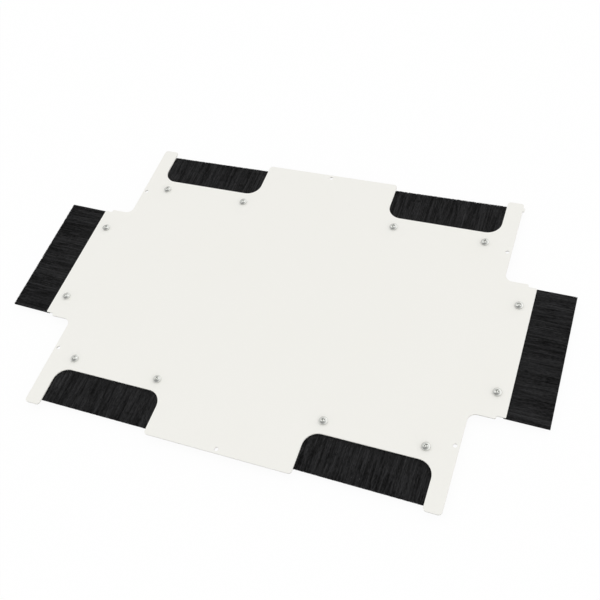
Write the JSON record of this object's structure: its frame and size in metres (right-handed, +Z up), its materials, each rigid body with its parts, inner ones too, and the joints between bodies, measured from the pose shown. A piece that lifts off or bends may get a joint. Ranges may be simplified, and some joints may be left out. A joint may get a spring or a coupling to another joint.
{
  "type": "brush cable entry plate",
  "caption": "Flat sheet-metal rack cover plate with strip brushes clamped under its open cut-outs and side tabs, so that cables pass through while dust and air stay out.",
  "frame": {"origin": "centre of the plate's corner fixing holes, on the plate's underside", "axes": "+X across the plate from the left tab to the right tab, +Y to the back edge, +Z up from the underside"},
  "size_m": [0.6758, 0.41, 0.0135],
  "materials": {
    "off_white_powder_coat": "fine smooth powder coat, satin",
    "black_bristle": "fine black nylon filaments",
    "galvanised_channel": "galvanised steel strip, folded and crimped",
    "steel_wire": "drawn steel wire",
    "zinc_plated_bar": "zinc plated, satin",
    "bright_plated_screw": "bright plated",
    "zinc_plated_nut": "zinc plated"
  },
  "bodies": {
    "root": {"cover_plate": "off_white_powder_coat", "bristle_pack_back_left": "black_bristle", "brush_channel_back_left": "galvanised_channel", "core_wire_back_left": "steel_wire", "clamp_bar_back_left": "zinc_plated_bar", "bristle_pack_back_right": "black_bristle", "brush_channel_back_right": "galvanised_channel", "core_wire_back_right": "steel_wire", "clamp_bar_back_right": "zinc_plated_bar", "bristle_pack_front_left": "black_bristle", "brush_channel_front_left": "galvanised_channel", "core_wire_front_left": "steel_wire", "clamp_bar_front_left": "zinc_plated_bar", "bristle_pack_front_right": "black_bristle", "brush_channel_front_right": "galvanised_channel", "core_wire_front_right": "steel_wire", "clamp_bar_front_right": "zinc_plated_bar", "bristle_pack_left": "black_bristle", "brush_channel_left": "galvanised_channel", "core_wire_left": "steel_wire", "clamp_bar_left": "zinc_plated_bar", "bristle_pack_right": "black_bristle", "brush_channel_right": "galvanised_channel", "core_wire_right": "steel_wire", "clamp_bar_right": "zinc_plated_bar", "pan_head_screws": "bright_plated_screw", "hex_nuts": "zinc_plated_nut"}
  },
  "joints": []
}
